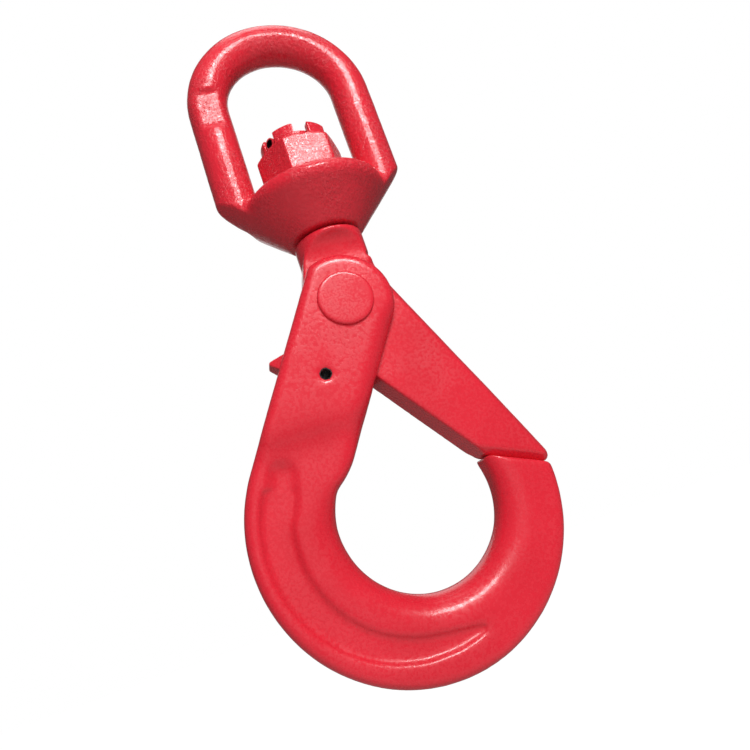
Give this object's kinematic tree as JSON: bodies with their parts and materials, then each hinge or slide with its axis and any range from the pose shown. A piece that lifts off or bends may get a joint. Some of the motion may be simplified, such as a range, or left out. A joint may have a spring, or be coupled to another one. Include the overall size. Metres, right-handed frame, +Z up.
{
  "type": "swivel hook",
  "caption": "Self-locking swivel safety hook for chain slings: round swivel eye with castle nut, latch arm, forked hook body and sprung release trigger.",
  "frame": {"origin": "bearing point inside the crown of the swivel eye, where a link or shackle pulls", "axes": "+Z up along the swivel axis, +X from the hook's back towards its latch, +Y across the hook's thickness"},
  "size_m": [0.1114, 0.0558, 0.2612],
  "materials": {
    "red_paint": "gloss, over a rough forged surface",
    "spring_steel": "oiled"
  },
  "bodies": {
    "eye": {"bail": "red_paint", "thrust_washer": "red_paint"},
    "arm": {"latch_arm": "red_paint", "castle_nut": "red_paint", "nut_spring_pin": "red_paint"},
    "hook": {"hook_body": "red_paint", "load_pin": "red_paint", "trigger_spring_pin": "red_paint"},
    "release": {"trigger": "red_paint", "trigger_spring": "spring_steel"}
  },
  "joints": [
    {"name": "swivel", "type": "hinge", "parent": "eye", "child": "arm", "pos_m": [0, 0, -0.0833], "axis": [0, 0, 1], "continuous": true},
    {"name": "hook_open", "type": "hinge", "parent": "arm", "child": "hook", "pos_m": [-0.0038, 0, -0.1135], "axis": [0, 1, 0], "range_deg": [0, 55]},
    {"name": "trigger_press", "type": "hinge", "parent": "hook", "child": "release", "pos_m": [-0.01872, 0, -0.13813], "axis": [0, -1, 0], "range_deg": [0, 14], "stiffness_Nm_per_rad": 0.06, "springref_deg": -28.65}
  ]
}
